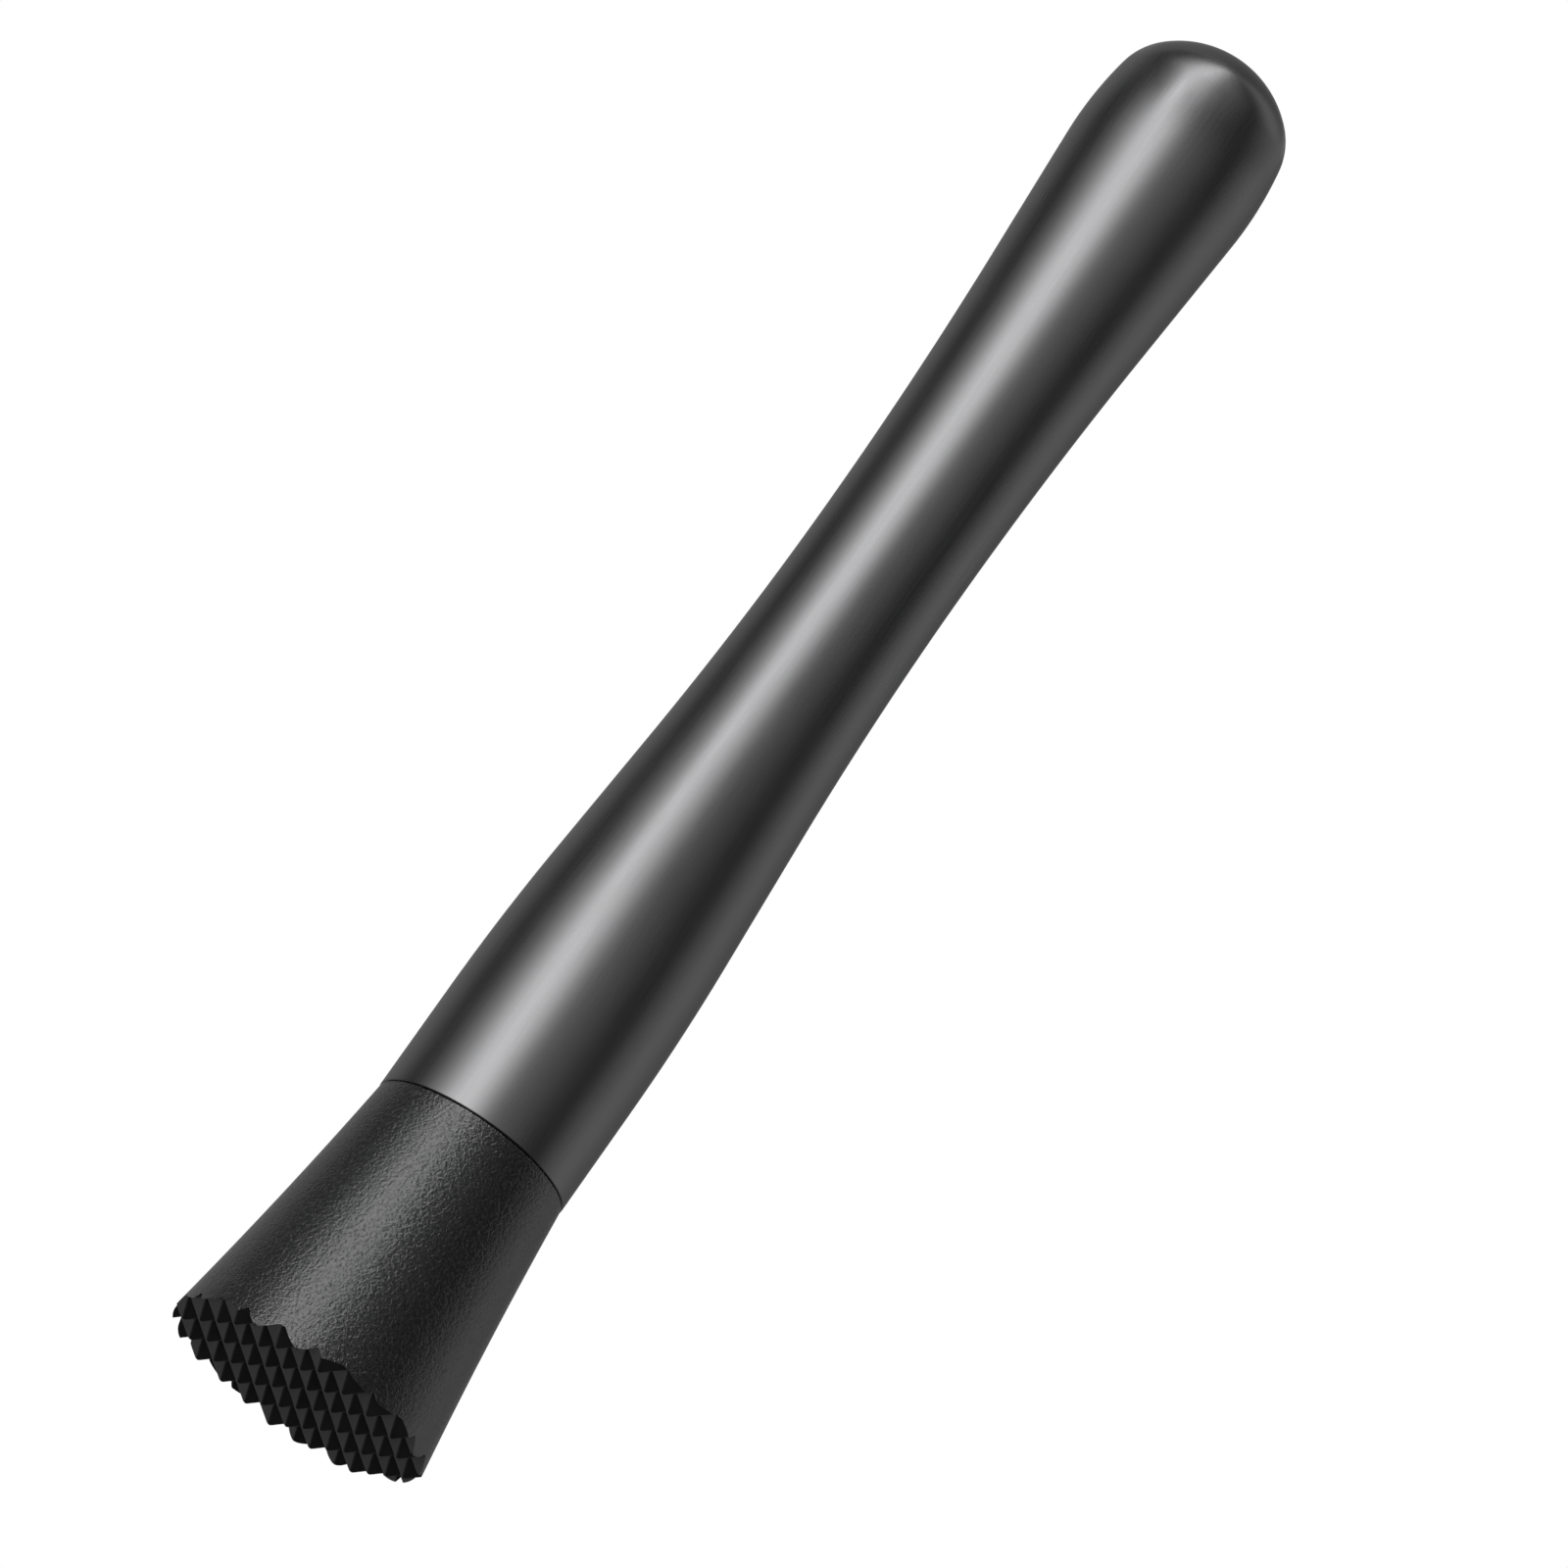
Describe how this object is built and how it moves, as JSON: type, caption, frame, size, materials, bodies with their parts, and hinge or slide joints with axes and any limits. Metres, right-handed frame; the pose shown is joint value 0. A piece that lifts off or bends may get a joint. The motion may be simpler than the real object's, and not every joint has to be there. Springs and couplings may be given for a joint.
{
  "type": "muddler",
  "caption": "Cocktail muddler: hollow black-coated steel handle with a slim waist and rounded knob, and a flared black nylon head with a face of pyramid teeth.",
  "frame": {"origin": "centre of the toothed face, at the height of the tooth tips", "axes": "+Z along the muddler's axis, from the teeth to the knob; +X and +Y along the two families of grooves between the teeth"},
  "size_m": [0.0346, 0.0346, 0.2034],
  "materials": {
    "coated_steel": "polished stainless steel with a black vapour-deposited coat",
    "weld_steel": "bare stainless weld root, lightly heat-tinted",
    "nylon": "moulded black nylon with a fine leathery grain",
    "adhesive": "cured clear-amber epoxy"
  },
  "bodies": {
    "root": {"handle_tube": "coated_steel", "end_cap": "coated_steel", "weld_bead": "weld_steel", "muddling_head": "nylon", "adhesive_bands": "adhesive"}
  },
  "joints": []
}
